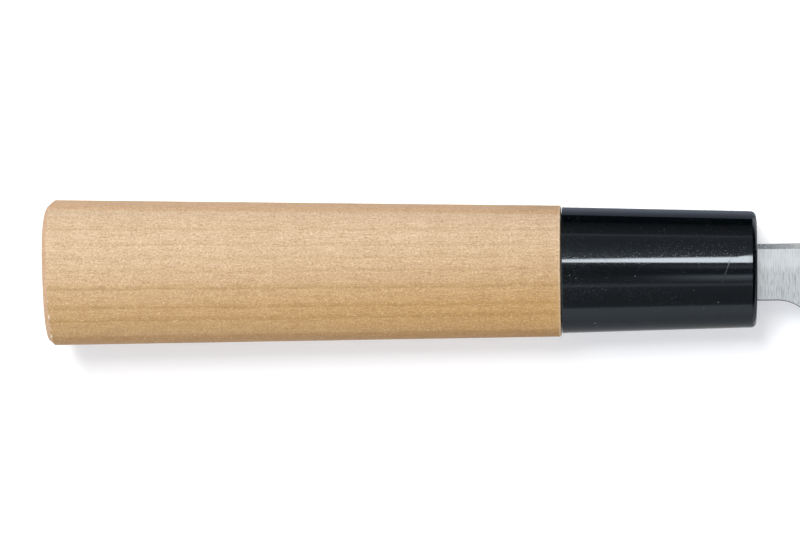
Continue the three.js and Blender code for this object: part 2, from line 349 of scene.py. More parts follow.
def ferrule_oval(x, inset):
    """Ring of the tapered ferrule at x, drawn in by an inset."""
    sizes = bpy.context.scene.deba_handle
    share = -x / sizes.ferrule_length
    height = lerp(sizes.ferrule_front_height, sizes.ferrule_back_height, share)
    thickness = lerp(sizes.ferrule_front_thickness, sizes.ferrule_back_thickness, share)
    return oval_ring(x, height - 2 * inset, thickness - 2 * inset, 0)


def rounded_end(oval, end, radius, inward):
    """Rings of a rounded end, from the end face to the full oval. Inward is the sign of the way in."""
    turns = [math.pi / 2 * step / ROUND_STEPS for step in range(ROUND_STEPS + 1)]
    return [
        oval(end + inward * radius * (1 - math.cos(turn)), radius * (1 - math.sin(turn)))
        for turn in turns
    ]


def chamfered_butt():
    """Rings of the butt's chamfer, from the end face to the full oval, with both edges broken."""
    sizes = bpy.context.scene.deba_handle
    butt = -sizes.ferrule_length - sizes.grip_length
    radius = sizes.chamfer_break
    slant = math.atan2(sizes.chamfer_length, sizes.chamfer_depth)
    end_setback = radius * math.tan(slant / 2)
    side_setback = radius * math.tan(math.pi / 4 - slant / 2)
    rings = []
    for share in (0, *steps(CORNER_STEPS)):
        turn = slant * share
        inset = sizes.chamfer_depth + end_setback - radius * math.sin(turn)
        rings.append(grip_oval(butt + radius * (1 - math.cos(turn)), inset))
    for share in (0, *steps(CORNER_STEPS)):
        turn = lerp(slant, math.pi / 2, share)
        x = butt + sizes.chamfer_length + side_setback - radius * math.cos(turn)
        rings.append(grip_oval(x, radius * (1 - math.sin(turn))))
    return rings


def tang_ring(x, fit):
    """Ring a set distance outside the tapering tang, with round corners and as many points as an oval."""
    sizes = bpy.context.scene.deba_blade
    end_radius = sizes.tang_end_height / 2
    share = -x / (sizes.tang_length - end_radius)
    top = lerp(sizes.neck_top, end_radius, share)
    bottom = lerp(-sizes.neck_bottom, -end_radius, share)
    half = lerp(sizes.neck_thickness, sizes.tang_end_thickness, share) / 2
    corners = ((top, half), (bottom, half), (bottom, -half), (top, -half))
    count = OVAL_SIDES // 4
    ring = []
    for quarter, (y, z) in enumerate(corners):
        for step in range(count):
            turn = math.pi / 2 * (quarter + step / (count - 1))
            ring.append(Vector((x, y + fit * math.cos(turn), z + fit * math.sin(turn))))
    return ring


def grip_mesh():
    """Wooden grip: bore, tenon, shoulder, taper and chamfered butt, as one row of rings."""
    sizes = bpy.context.scene.deba_handle
    joint = -sizes.ferrule_length
    butt = joint - sizes.grip_length
    tenon_end = -sizes.ferrule_front_wall - sizes.bond_line
    bore_end = -bpy.context.scene.deba_blade.tang_length - sizes.bore_runout
    bore_fit = 2 * sizes.bond_line + sizes.bedding_wall
    inset = sizes.ferrule_wall + sizes.bond_line
    taper_start = joint - sizes.shoulder_break
    taper_end = butt + sizes.chamfer_length
    rings = [tang_ring(bore_end, bore_fit), tang_ring(tenon_end, bore_fit)]
    rings += [ferrule_oval(tenon_end, inset), ferrule_oval(joint, inset)]
    rings += rounded_end(grip_oval, joint, sizes.shoulder_break, -1)
    rings += [grip_oval(lerp(taper_start, taper_end, share), 0) for share in steps(TAPER_STEPS)[:-1]]
    rings += reversed(chamfered_butt())
    return skin(rings, closed=False)


def ferrule_mesh():
    """Ferrule: taper, rounded rim, front face, slot and socket, as one closed loop of rings."""
    sizes = bpy.context.scene.deba_handle
    back = -sizes.ferrule_length + sizes.joint_gap
    slot_fit = 2 * sizes.bond_line + sizes.seal_wall
    taper_start = back + sizes.ferrule_back_break
    rings = rounded_end(ferrule_oval, back, sizes.ferrule_back_break, 1)
    rings += [ferrule_oval(lerp(taper_start, -sizes.ferrule_round, share), 0)
              for share in (SUPPORT, *steps(TAPER_STEPS)[:-1])]
    rings += reversed(rounded_end(ferrule_oval, 0, sizes.ferrule_round, -1))
    rings += [tang_ring(0, slot_fit), tang_ring(-sizes.ferrule_front_wall, slot_fit)]
    rings += [ferrule_oval(-sizes.ferrule_front_wall, sizes.ferrule_wall),
              ferrule_oval(back, sizes.ferrule_wall)]
    return skin(rings, closed=True)


def seal_mesh():
    """Resin in the slot round the neck, with a front that sags between slot and steel."""
    sizes = bpy.context.scene.deba_handle
    back = -sizes.ferrule_front_wall
    front = -sizes.seal_recess
    inner = sizes.bond_line
    outer = inner + sizes.seal_wall
    rings = [tang_ring(back, inner), tang_ring(back, outer), tang_ring(front, outer)]
    for share in steps(CORNER_STEPS):
        dip = sizes.seal_sag * math.sin(math.pi * share)
        rings.append(tang_ring(front - dip, lerp(outer, inner, share)))
    return skin(rings, closed=True)


# Blade

def bezier(points, share):
    """Point of a cubic curve."""
    start, pull, push, end = points
    rest = 1 - share
    return (start * rest ** 3 + pull * 3 * rest ** 2 * share
            + push * 3 * rest * share ** 2 + end * share ** 3)


def height_at(points, x):
    """Height of a cubic curve at x, which grows steadily along it."""
    low, high = 0, 1
    for _ in range(HALVINGS):
        middle = (low + high) / 2
        if bezier(points, middle).x < x:
            low = middle
        else:
            high = middle
    return bezier(points, low).y


def tip_place(sizes):
    """Place of the tip along the knife."""
    return sizes.neck_length + sizes.edge_length


def spine_curve(sizes):
    """Spine from the ferrule to the tip."""
    tip = tip_place(sizes)
    return (Vector((0, sizes.neck_top)),
            Vector((sizes.spine_run, sizes.neck_top + sizes.spine_rise)),
            Vector((tip - sizes.spine_fall_run, sizes.spine_fall_height)),
            Vector((tip, -sizes.tip_depth)))


def edge_curve(sizes):
    """Edge from the heel to the tip."""
    tip = tip_place(sizes)
    return (Vector((sizes.neck_length, -sizes.heel_depth)),
            Vector((sizes.neck_length + sizes.edge_run, -sizes.heel_depth)),
            Vector((tip - sizes.belly_run, -sizes.belly_depth)),
            Vector((tip, -sizes.tip_depth)))


def heel_height(sizes):
    """Height of the blade at its heel."""
    return height_at(spine_curve(sizes), sizes.neck_length) + sizes.heel_depth


def flat_steel(x, sizes):
    """Back face and thickness of the flat steel at x, before the bevel and the hollow."""
    if x >= 0:
        share = min(x / tip_place(sizes), 1)
        return -sizes.neck_thickness / 2, lerp(sizes.neck_thickness, sizes.tip_thickness, share)
    share = -x / (sizes.tang_length - sizes.tang_end_height / 2)
    thickness = lerp(sizes.neck_thickness, sizes.tang_end_thickness, share)
    return -thickness / 2, thickness


def bevel_at(x, height, sizes):
    """Width and slope of the bevel where the blade has that height."""
    heel = sizes.neck_length
    along = min(max((x - heel) / sizes.edge_length, 0), 1)
    width = height * lerp(sizes.bevel_width / heel_height(sizes), 1, along ** sizes.bevel_sweep)
    steepest = (flat_steel(min(x, heel), sizes)[1] - sizes.edge_land) / sizes.bevel_width
    slope = min(steepest, (flat_steel(x, sizes)[1] - sizes.edge_land) / width)
    return width, slope


def corner(y, z, radius, start):
    """Points of a quarter arc round (y, z), after its first one. Start is its first angle in quarters."""
    turns = [math.pi / 2 * (start + share) for share in steps(CORNER_STEPS)]
    return [(y + radius * math.cos(turn), z + radius * math.sin(turn)) for turn in turns]


def line(start, end, count):
    """Points of a straight stretch after its first one."""
    return [(lerp(start[0], end[0], share), lerp(start[1], end[1], share)) for share in steps(count)]


class BladeSection:
    """Section across the ground blade at x, as stretches of (y, z) points that run on from each other.

    The front and the back are each split at the height where the choil meets the heel, so that the
    neck, which has only the upper stretches, joins the first section point by point.
    """

    def __init__(self, x, sizes):
        edge = height_at(edge_curve(sizes), x)
        spine = max(height_at(spine_curve(sizes), x), edge)
        height = max(spine - edge, sizes.edge_width)
        back, _ = flat_steel(x, sizes)
        width, slope = bevel_at(x, height, sizes)
        front = back + sizes.edge_land + slope * width
        radius = min(sizes.spine_break, height / 2 * NARROW, (front - back) * NARROW)
        top = spine - radius
        ridge = min(edge + width, top)
        rim = min(sizes.hollow_rim, height * NARROW)
        half = height / 2 - rim
        depth = smoothstep(x, sizes.neck_length, sizes.neck_length + sizes.hollow_run_in)
        depth *= half ** 2 / (2 * sizes.hollow_wheel)
        self.x = x
        self.hollow = (edge + height / 2, half, back, depth)
        small = min(sizes.edge_bevel, width * NARROW)
        small_z = back + sizes.edge_land + slope * small
        choil_depth = heel_height(sizes) - sizes.heel_depth + sizes.neck_bottom + sizes.choil_radius
        split = spine - choil_depth / heel_height(sizes) * height
        front_split = max(split, ridge)
        self.upper_front = [(spine, front - radius), *corner(top, front - radius, radius, 0)]
        self.upper_front += line((top, front), (front_split, front), FACE_STEPS)
        self.lower_front = line((front_split, front), (ridge, front), FACE_STEPS)
        self.ridge = len(self.upper_front) + len(self.lower_front) - 1
        self.lower_front += line((ridge, front), (edge + small, small_z), BEVEL_STEPS)
        self.lower_front += [(edge, back + min(sizes.edge_width, sizes.edge_land))]
        self.lower_back = [(edge, back)]
        self.lower_back += self.hollowed([edge + rim, *self.between(edge + rim, split)])
        self.upper_back = self.hollowed(self.between(split, spine - rim))
        self.upper_back += [(top, back), *corner(top, back + radius, radius, 3)]

    @staticmethod
    def between(start, end):
        """Even heights after start, up to end."""
        return [lerp(start, end, share) for share in steps(FACE_STEPS)]

    def hollowed(self, heights):
        """Points of the hollow back at these heights."""
        middle, half, back, depth = self.hollow
        return [(y, back + depth * (1 - min(((y - middle) / half) ** 2, 1))) for y in heights]

    def ring(self):
        """Whole section as points of the knife."""
        points = self.upper_front + self.lower_front + self.lower_back + self.upper_back
        return [Vector((self.x, y, z)) for y, z in points]

    def heel(self):
        """Outline of the heel's end face, below the choil."""
        points = [self.upper_front[-1], *self.lower_front, *self.lower_back]
        return [Vector((self.x, y, z)) for y, z in points]


def bar_ring(x, top, bottom, share, sizes):
    """Section of the neck or the tang, with broken edges. The share of the lower break is kept."""
    back, thickness = flat_steel(x, sizes)
    front = back + thickness
    radius = min(sizes.spine_break, (top - bottom) * NARROW)
    under = min(sizes.choil_break, (top - bottom) * NARROW) * share
    points = [(top, front - radius), *corner(top - radius, front - radius, radius, 0)]
    points += line((top - radius, front), (bottom + under, front), FACE_STEPS)
    points += corner(bottom + under, front - under, under, 1)
    points += [(bottom, back + under), *corner(bottom + under, back + under, under, 2)]
    points += line((bottom + under, back), (top - sizes.hollow_rim, back), FACE_STEPS)
    points += [(top - radius, back), *corner(top - radius, back + radius, radius, 3)]
    return [Vector((x, y, z)) for y, z in points]


def neck_rings(sizes):
    """Sections from the tang's round end along the tang and the neck to the end of the choil."""
    radius = sizes.tang_end_height / 2
    centre = radius - sizes.tang_length
    spine = spine_curve(sizes)
    rings = []
    for step in range(1, TANG_END_STATIONS + 1):
        turn = math.pi / 2 * (1 - step / TANG_END_STATIONS)
        reach = radius * math.cos(turn)
        rings.append(bar_ring(centre - radius * math.sin(turn), reach, -reach, 1, sizes))
    choil = sizes.neck_length - sizes.choil_radius
    for share in steps(NECK_STATIONS):
        x = choil * share
        rings.append(bar_ring(x, height_at(spine, x), -sizes.neck_bottom, 1, sizes))
    for share in steps(CHOIL_STATIONS):
        turn = math.pi / 2 * share
        x = choil + sizes.choil_radius * math.sin(turn)
        bottom = -sizes.neck_bottom - sizes.choil_radius * (1 - math.cos(turn))
        kept = min(1, (1 - share) / BREAK_RUNOUT)
        rings.append(bar_ring(x, height_at(spine, x), bottom, kept, sizes))
    return rings


def blade_mesh():
    """Blade, neck and tang in one piece: the neck's sections run into the upper part of the heel's."""
    sizes = bpy.context.scene.deba_blade
    heel = sizes.neck_length
    reach = sizes.edge_length - sizes.edge_width
    shares = [0, *steps(BLADE_STATIONS)]
    places = [heel + reach * (1 - (1 - share) ** TIP_CROWDING) for share in shares]
    sections = [BladeSection(place, sizes) for place in places]
    mesh = bmesh.new()
    neck = [[mesh.verts.new(point) for point in ring] for ring in neck_rings(sizes)]
    blade = [[mesh.verts.new(point) for point in section.ring()] for section in sections]
    for rows, breaks in ((neck, SPINE_BREAKS + NECK_BREAKS), (blade, SPINE_BREAKS)):
        for here, there in zip(rows, rows[1:]):
            bridge(mesh, here, there)
            sharpen(mesh, here, there, breaks)
    for here, there, section in zip(blade, blade[1:], sections):
        sharpen(mesh, here, there, (section.ridge,))
    mesh.faces.new(neck[0])
    mesh.faces.new(blade[-1])
    mesh.faces.new([mesh.verts.new(point) for point in sections[0].heel()])
    return mesh


# Shader expressions

# Level about which noise swings
NOISE_MIDDLE = 0.5


class Wire:
    """Output socket that takes part in sums: each operator adds one Math node."""

    def __init__(self, finish, socket):
        self.finish = finish
        self.socket = socket

    def maths(self, operation, *values):
        """One Math node on these values."""
        return self.finish.node("ShaderNodeMath", {"operation": operation}, dict(enumerate(values)))

    def __add__(self, other):
        return self.maths("ADD", self, other)

    def __radd__(self, other):
        return self.maths("ADD", other, self)

    def __sub__(self, other):
        return self.maths("SUBTRACT", self, other)

    def __rsub__(self, other):
        return self.maths("SUBTRACT", other, self)

    def __mul__(self, other):
        return self.maths("MULTIPLY", self, other)

    def __rmul__(self, other):
        return self.maths("MULTIPLY", other, self)

    def __truediv__(self, other):
        return self.maths("DIVIDE", self, other)

    def __rtruediv__(self, other):
        return self.maths("DIVIDE", other, self)

    def __abs__(self):
        return self.maths("ABSOLUTE", self)


class Finish:
    """Node tree of a material or the world, written as expressions on its wires."""

    def __init__(self, owner):
        owner.use_nodes = True
        self.owner = owner
        self.tree = owner.node_tree
        self.tree.nodes.clear()

    def node(self, kind, settings=None, sockets=None, output=0):
        """A node of that kind: its settings first, then the values or links of its sockets."""
        node = self.tree.nodes.new(kind)
        for name, value in (settings or {}).items():
            if name == "stops":
                self.set_stops(node.color_ramp, value)
            else:
                setattr(node, name, value)
        for name, value in (sockets or {}).items():
            self.plug(node.inputs[name], value)
        return Wire(self, node.outputs[output]) if node.outputs else node

    def plug(self, socket, value):
        """Links a wire to a socket, or sets the socket's own value."""
        if isinstance(value, Wire):
            self.tree.links.new(value.socket, socket)
        elif socket.type == "RGBA":
            socket.default_value = (*value[:3], 1)
        else:
            socket.default_value = value

    @staticmethod
    def set_stops(ramp, stops):
        """Gives a ramp its grey stops."""
        while len(ramp.elements) < len(stops):
            ramp.elements.new(1)
        for element, (position, value) in zip(ramp.elements, stops):
            element.position = position
            element.color = (value, value, value, 1)

    def vector(self, operation, *values):
        """A Vector Math node on these values."""
        return self.node("ShaderNodeVectorMath", {"operation": operation}, dict(enumerate(values)))

    def coordinates(self, kind):
        """Texture coordinates of that kind."""
        return self.node("ShaderNodeTexCoord", None, None, kind)

    def rays(self, *kinds):
        """Whether a ray is of each of these kinds."""
        path = self.node("ShaderNodeLightPath").socket.node
        return [Wire(self, path.outputs[f"Is {kind} Ray"]) for kind in kinds]

    def ramp(self, level, stops):
        """Value that a ramp with these stops has at a level."""
        return self.node("ShaderNodeValToRGB", {"stops": stops}, {"Fac": level})

    def split(self, vector):
        """The three numbers of a vector."""
        node = self.node("ShaderNodeSeparateXYZ", None, {0: vector})
        return [Wire(self, socket) for socket in node.socket.node.outputs]

    def mix(self, factor, first, second):
        """Colour between two colours."""
        settings = {"data_type": "RGBA"}
        return self.node("ShaderNodeMix", settings, {0: factor, 6: first, 7: second}, 2)

    def tint(self, base, shade, weights=(1, 1, 1)):
        """Colour multiplied by a shade, which has its own weight on red, green and blue."""
        shades = [(shade - 1) * weight + 1 if weight != 1 else shade for weight in weights]
        grey = self.node("ShaderNodeCombineColor", None, dict(enumerate(shades)))
        settings = {"data_type": "RGBA", "blend_type": "MULTIPLY"}
        return self.node("ShaderNodeMix", settings, {0: 1.0, 6: base, 7: grey}, 2)

    def step(self, value, low, high):
        """Smooth step of a value from 0 at low to 1 at high."""
        settings = {"interpolation_type": "SMOOTHSTEP"}
        return self.node("ShaderNodeMapRange", settings, {0: value, 1: low, 2: high, 3: 0.0, 4: 1.0})

    def along(self, vector, axis):
        """Length of a vector along an axis."""
        settings = {"operation": "DOT_PRODUCT"}
        return self.node("ShaderNodeVectorMath", settings, {0: vector, 1: axis}, "Value")

    def place(self):
        """Place on the knife in millimetres, in the knife's own frame."""
        knife = knife_frame()
        offset = self.vector("SUBTRACT", self.coordinates("Object"), knife.translation)
        lengths = [self.along(offset, axis / MM) for axis in knife.to_3x3().transposed()]
        return self.node("ShaderNodeCombineXYZ", None, dict(enumerate(lengths)))

    def noise(self, place, stretch, detail=2.0, roughness=0.5, shift=0.0):
        """Noise with so many waves to the millimetre along each axis."""
        vector = self.vector("MULTIPLY_ADD", place, stretch, (shift, shift, shift))
        sockets = {"Vector": vector, "Scale": 1.0, "Detail": detail, "Roughness": roughness}
        return self.node("ShaderNodeTexNoise", None, sockets)

    def swing(self, place, **pattern):
        """Noise that swings about 0."""
        return self.noise(place, **pattern) - NOISE_MIDDLE

    def patches(self, place, levels, **pattern):
        """Noise stepped between two levels, which leaves patches."""
        return self.step(self.noise(place, **pattern), *levels)

    def bump(self, height, strength, distance):
        """Normal bent by a height."""
        return self.node("ShaderNodeBump", None,
                         {"Height": height, "Strength": strength, "Distance": distance})

    def surface(self, sockets):
        """Ends the tree in one principled surface."""
        shader = self.node("ShaderNodeBsdfPrincipled", None, sockets)
        self.node("ShaderNodeOutputMaterial", None, {"Surface": shader})
        return self.owner


# Finishes

# A pattern is noise: waves to the millimetre along and across the knife, then its octaves, roughness
# and shift. One with levels is stepped between them and leaves patches.

# Growth lines of the grip: height over its axis in millimetres, at the butt, and strength
GROWTH_LINES = (
    (8.1, 0.25), (5.2, 0.25), (2.7, 0.22), (0.2, 0.25), (-3.05, 0.6), (-6.6, 0.58), (-8.9, 0.6),
)
# One line across its height: offset in millimetres and share of its strength
GROWTH_PROFILE = ((-0.3, 0), (0, 1), (0.2, 0.65), (0.9, 0))
# Tilt of the lines through the grip, their climb along it, and the heights that their ramp spans
GROWTH_TILT = math.radians(12)
GROWTH_SLOPE = 0.0037
GROWTH_REACH = 15
# Long and short waver of the lines, and its height in millimetres
WAVER = {"stretch": (0.03, 0.1, 0.1), "detail": 1.0}
WAVER_HEIGHT = 0.5
RIPPLE = {"stretch": (0.13, 0.4, 0.4)}
RIPPLE_HEIGHT = 0.4
# Stretches where a line is clear, and how far it fades between them
CLEAR_STRETCHES = {"stretch": (0.2, 1.2, 1.2), "detail": 3.0, "levels": (0.25, 0.6)}
LINE_FADE = 0.5
# Place along the handle, in millimetres, from which changes along the grip are measured
GRIP_MIDDLE = -83
# Heights between which painted shade darkens and warms the lower wood
LOWER_SHADE_HEIGHTS = (7, -9)
# Shares of the half height where painted shade darkens the rounds; the upper one is partly darker wood
UPPER_ROUND_GRAIN_AND_SHADE = (0.942, 0.968)
SHADED_LOWER_ROUND = (-0.75, -0.82)
# How fast painted shade darkens the wood, and the painted lower shade climbs it, towards the ferrule
SHADE_ALONG_GRIP = 0.0005
WARMING = 0.03
# Where the lower wood turns golden, in millimetres along the grip and shares of its half height, how
# far, and with which weights on red, green and blue
GOLDEN_ALONG = (-25, 45)
GOLDEN_RISE = (0.1, -0.55)
GOLDEN = 0.13
GOLDEN_WEIGHTS = (0, 0.25, 1.2)
# Fine grain of the wood
FIBRES = {"stretch": (0.22, 3.2, 3.2), "detail": 3.0, "roughness": 0.6}
FIGURE = {"stretch": (0.5, 0.08, 0.08)}
SPECKLE = {"stretch": (2.6, 4, 4), "roughness": 0.7, "shift": 7.0}
PORES = {"stretch": (2.2, 4, 4), "detail": 1.0, "shift": 3.0, "levels": (0.58, 0.72)}
FLECKS = {"stretch": (2.6, 4, 4), "detail": 1.0, "shift": 11.0, "levels": (0.6, 0.74)}
# Edges of the grip, in millimetres: end grain, chips of the butt and a painted highlight on the shoulder
END_EDGE = (0.1, -0.1)
CHIPS = {"stretch": (1.1, 1.1, 1.1), "detail": 1.0, "shift": 17.0, "levels": (0.56, 0.64)}
CHIP_RISE = (-0.15, -0.45)
CHIP_REACH = (0.22, 0.06)
SHOULDER_HIGHLIGHT = (-0.45, -0.15)
# How far the grain and the edges cover, shade and raise the wood, and the relief's strength and depth
WOOD_COVER = {"lines": 0.85, "pores": 0.5, "flecks": 0.4, "end": 0.8, "chips": 0.8, "shoulder": 0.55}
WOOD_SHADE = {"fibres": 0.55, "figure": 0.15, "speckle": 1.3}
WOOD_RELIEF = {"fibres": 0.5, "speckle": 0.5, "pores": -0.6, "lines": -0.3}
WOOD_BUMP = (0.3, 0.05 * MM)
# How strongly the grain changes red, green and blue
GRAIN_WEIGHTS = (0.74, 1, 1.25)
WOOD_ROUGHNESS = 0.7
FIBRE_ROUGHNESS = 0.15
WOOD_IOR = 1.6


def weighed(masks, weights):
    """Sum of the masks that have a weight, each times its weight."""
    return sum(masks[name] * weight for name, weight in weights.items())


def growth_stops():
    """Stops of a ramp over the grip's height with a thin one-sided peak at each growth line."""
    stops = []
    for height, strength in sorted(GROWTH_LINES):
        for offset, share in GROWTH_PROFILE:
            stops.append(((height + offset + GROWTH_REACH) / (2 * GROWTH_REACH), strength * share))
    return stops


def grip_rise(finish, place):
    """Heights as shares of the grip's half height, which tapers: straight up, and up the growth lines."""
    sizes = bpy.context.scene.deba_handle
    x, y, z = finish.split(place)
    share = (x + sizes.ferrule_length / MM) * (-MM / sizes.grip_length)
    taper = (sizes.butt_height - sizes.shoulder_height) / 2 / MM
    half = share * taper + sizes.shoulder_height / 2 / MM
    y = y + (1 - share) * (sizes.shoulder_drop / MM)
    tilted = y * math.cos(GROWTH_TILT) - z * math.sin(GROWTH_TILT)
    return y / half, tilted / half


def growth_height(finish, place, along, rise):
    """Height over the axis of the growth lines, with the waver of real wood."""
    height = rise * (bpy.context.scene.deba_handle.butt_height / 2 / MM) - along * GROWTH_SLOPE
    height = height + finish.swing(place, **WAVER) * WAVER_HEIGHT
    return height + finish.swing(place, **RIPPLE) * RIPPLE_HEIGHT


def wood_ground(finish, along, rise, height):
    """Under the grain: warmer painted shade low down, darker on the rounds, golden near the ferrule."""
    tones = bpy.context.scene.deba_finish
    # Painted shade low down and on both rounds, the upper round partly darker wood
    base = finish.mix(finish.step(height - along * WARMING, *LOWER_SHADE_HEIGHTS), tones.wood, tones.shaded_lower_wood)
    base = finish.mix(finish.step(rise, *UPPER_ROUND_GRAIN_AND_SHADE), base, tones.upper_round_grain_and_shade)
    base = finish.mix(finish.step(rise, *SHADED_LOWER_ROUND), base, tones.shaded_lower_round)
    golden = finish.step(along, *GOLDEN_ALONG) * finish.step(rise, *GOLDEN_RISE)
    return finish.tint(base, 1 - golden * GOLDEN, GOLDEN_WEIGHTS)


def wood_edges(finish, place, along, rise, base):
    """The wood with the butt's end grain and chips, and a painted highlight on the shoulder's edge."""
    tones = bpy.context.scene.deba_finish
    sizes = bpy.context.scene.deba_handle
    shoulder = -sizes.ferrule_length / MM - GRIP_MIDDLE
    chamfer = shoulder - (sizes.grip_length - sizes.chamfer_length) / MM
    end = finish.step(along - chamfer, *END_EDGE)
    base = finish.mix(end * WOOD_COVER["end"], base, tones.end_grain)
    chips = finish.patches(place, **CHIPS) * finish.step(rise, *CHIP_RISE)
    chips = chips * finish.step(abs(along - chamfer), *CHIP_REACH)
    base = finish.mix(chips * WOOD_COVER["chips"], base, tones.worn)
    # Painted highlight on the shoulder's broken edge, in the tone of the pale flecks
    edge = finish.step(along - shoulder, *SHOULDER_HIGHLIGHT)
    return finish.mix(edge * WOOD_COVER["shoulder"], base, tones.fleck)


def wood_material():
    """Sanded pale wood: growth lines, fibres, pores, pale flecks, end grain, painted shade and highlight.
    """
    tones = bpy.context.scene.deba_finish
    finish = Finish(bpy.data.materials.new("sanded_wood"))
    place = finish.place()
    along = finish.split(place)[0] - GRIP_MIDDLE
    rise, tilted_rise = grip_rise(finish, place)
    height = growth_height(finish, place, along, tilted_rise)
    lines = finish.ramp((height + GROWTH_REACH) / (2 * GROWTH_REACH), growth_stops())
    grain = {
        "lines": lines * (1 - LINE_FADE + finish.patches(place, **CLEAR_STRETCHES) * LINE_FADE),
        "fibres": finish.swing(place, **FIBRES),
        "figure": finish.swing(place, **FIGURE),
        "speckle": finish.swing(place, **SPECKLE),
        "pores": finish.patches(place, **PORES),
        "flecks": finish.patches(place, **FLECKS),
    }
    base = wood_ground(finish, along, rise, height)
    for name, tone in (("lines", tones.growth_line), ("pores", tones.pore), ("flecks", tones.fleck)):
        base = finish.mix(grain[name] * WOOD_COVER[name], base, tone)
    base = wood_edges(finish, place, along, rise, base)
    # Grain tone, and painted shade that darkens the wood towards the ferrule
    shade = 1 + weighed(grain, WOOD_SHADE) - along * SHADE_ALONG_GRIP
    return finish.surface({
        "Base Color": finish.tint(base, shade, GRAIN_WEIGHTS),
        "Roughness": WOOD_ROUGHNESS + grain["fibres"] * FIBRE_ROUGHNESS,
        "IOR": WOOD_IOR,
        "Normal": finish.bump(weighed(grain, WOOD_RELIEF), *WOOD_BUMP),
    })


# Dust on the ferrule: everywhere, more in clouds and in a band above its middle, in millimetres, and
# most at the band's front, with a few larger specks
DUST = {"stretch": (6, 6, 6), "detail": 0.0, "levels": (0.66, 0.8)}
DUST_CLOUDS = {"stretch": (0.1, 0.25, 0.25), "shift": 9.0, "levels": (0.4, 0.62)}
DUST_BAND = {"low": (3.4, 4.6), "high": (7.2, 5.2), "front": (-30, -12)}
DUST_LEAST = 0.12
DUST_MORE = {"clouds": 0.21, "band": 0.21, "front": 0.39}
SPECKS = {"stretch": (1.7, 1.7, 1.7), "detail": 0.0, "shift": 13.0, "levels": (0.85, 0.89)}
# Hairlines along the ferrule and smears
HAIRLINES = {"stretch": (0.05, 2.2, 2.2), "detail": 3.0, "roughness": 0.6, "levels": (0.56, 0.8)}
SMEARS = {"stretch": (0.12, 0.3, 0.3), "levels": (0.45, 0.8)}
# Scratch on the ferrule's front, in millimetres: place along the handle, slant, lower and upper height,
# width, share of its half length where it starts to fade, and heights where the front starts
SCRATCH = {"place": -5.6, "slant": 0.34, "low": -1, "high": 4, "width": 0.17, "fade": 0.6,
           "front": (0, 1)}
# How far the marks cover, roughen and raise the plastic
MARK_COVER = {"dust": 0.55, "scratch": 0.14}
MARK_ROUGHNESS = {"hairlines": 0.015, "smears": 0.01, "dust": 0.2, "scratch": 0.2}
MARK_RELIEF = {"dust": 0.4, "hairlines": 0.02, "scratch": -0.4}
PLASTIC_BUMP = (0.3, 0.02 * MM)
PLASTIC_ROUGHNESS = 0.035
PLASTIC_IOR = 1.67


def dust_mask(finish, place):
    """Fine dust and a few larger specks."""
    x, y, _ = finish.split(place)
    band = finish.step(y, *DUST_BAND["low"]) * finish.step(y, *DUST_BAND["high"])
    layers = {
        "clouds": finish.patches(place, **DUST_CLOUDS),
        "band": band,
        "front": band * finish.step(x, *DUST_BAND["front"]),
    }
    fine = finish.patches(place, **DUST) * (DUST_LEAST + weighed(layers, DUST_MORE))
    return fine + finish.patches(place, **SPECKS)


def scratch_mask(finish, place):
    """One fine slanting scratch that fades at its ends."""
    x, y, z = finish.split(place)
    middle = (SCRATCH["low"] + SCRATCH["high"]) / 2
    across = abs(x - SCRATCH["place"] - (y - middle) * SCRATCH["slant"])
    ends = abs(y - middle) / (SCRATCH["high"] - middle)
    mark = finish.step(across, SCRATCH["width"], 0) * finish.step(ends, 1, SCRATCH["fade"])
    return mark * finish.step(z, *SCRATCH["front"])


def plastic_material():
    """Glossy black plastic with faint hairlines, fine dust and one slanting scratch."""
    tones = bpy.context.scene.deba_finish
    finish = Finish(bpy.data.materials.new("glossy_plastic"))
    place = finish.place()
    marks = {
        "dust": dust_mask(finish, place),
        "hairlines": finish.patches(place, **HAIRLINES),
        "smears": finish.patches(place, **SMEARS),
        "scratch": scratch_mask(finish, place),
    }
    return finish.surface({
        "Base Color": finish.mix(weighed(marks, MARK_COVER), tones.plastic, tones.dust),
        "Roughness": PLASTIC_ROUGHNESS + weighed(marks, MARK_ROUGHNESS),
        "IOR": PLASTIC_IOR,
        "Specular Tint": tones.gloss,
        "Normal": finish.bump(weighed(marks, MARK_RELIEF), *PLASTIC_BUMP),
    })


# How far the steel's surface turns to the front or the back where its ground faces and its broken edges
# start, and how far it turns up where its underside starts, which scale and painted shade darken
FACE_TURN = (0.9, 0.955)
BREAK_TURN = (0.1, 0.35)
UNDER_TURN = (0.2, -0.2)
# Furrows of the grinding, slow drift of its tone and grit of the rough steel, with how far each shows,
# and how much painted shade darkens the broken edges
FURROWS = {"stretch": (6, 0.4, 0.4), "detail": 3.0, "roughness": 0.6}
FURROW_LEVELS = (0.42, 0.72)
FURROW_COVER = 0.85
FURROW_RELIEF = 0.35
DRIFT = {"stretch": (0.5, 0.15, 0.15), "shift": 5.0}
DRIFT_SHADE = 0.187
GRIT = {"stretch": (3.2, 3.2, 3.2), "detail": 3.0, "roughness": 0.7}
GRIT_SHADE = 4.4
BREAK_PAINTED_SHADE = 0.75
# Smoother upper part of the neck, in millimetres, where the furrows are fainter, and where a painted
# highlight makes the steel paler
POLISH_RISE = (-0.6, 1.6)
POLISH_ALONG = (30, 10)
POLISH_COVER = 0.5
POLISH_HIGHLIGHT = 0.131
STEEL_BUMP = (0.35, 0.03 * MM)
ROUGH_ROUGHNESS = 0.62
GROUND_ROUGHNESS = 0.34
FURROW_ROUGHNESS = 0.08


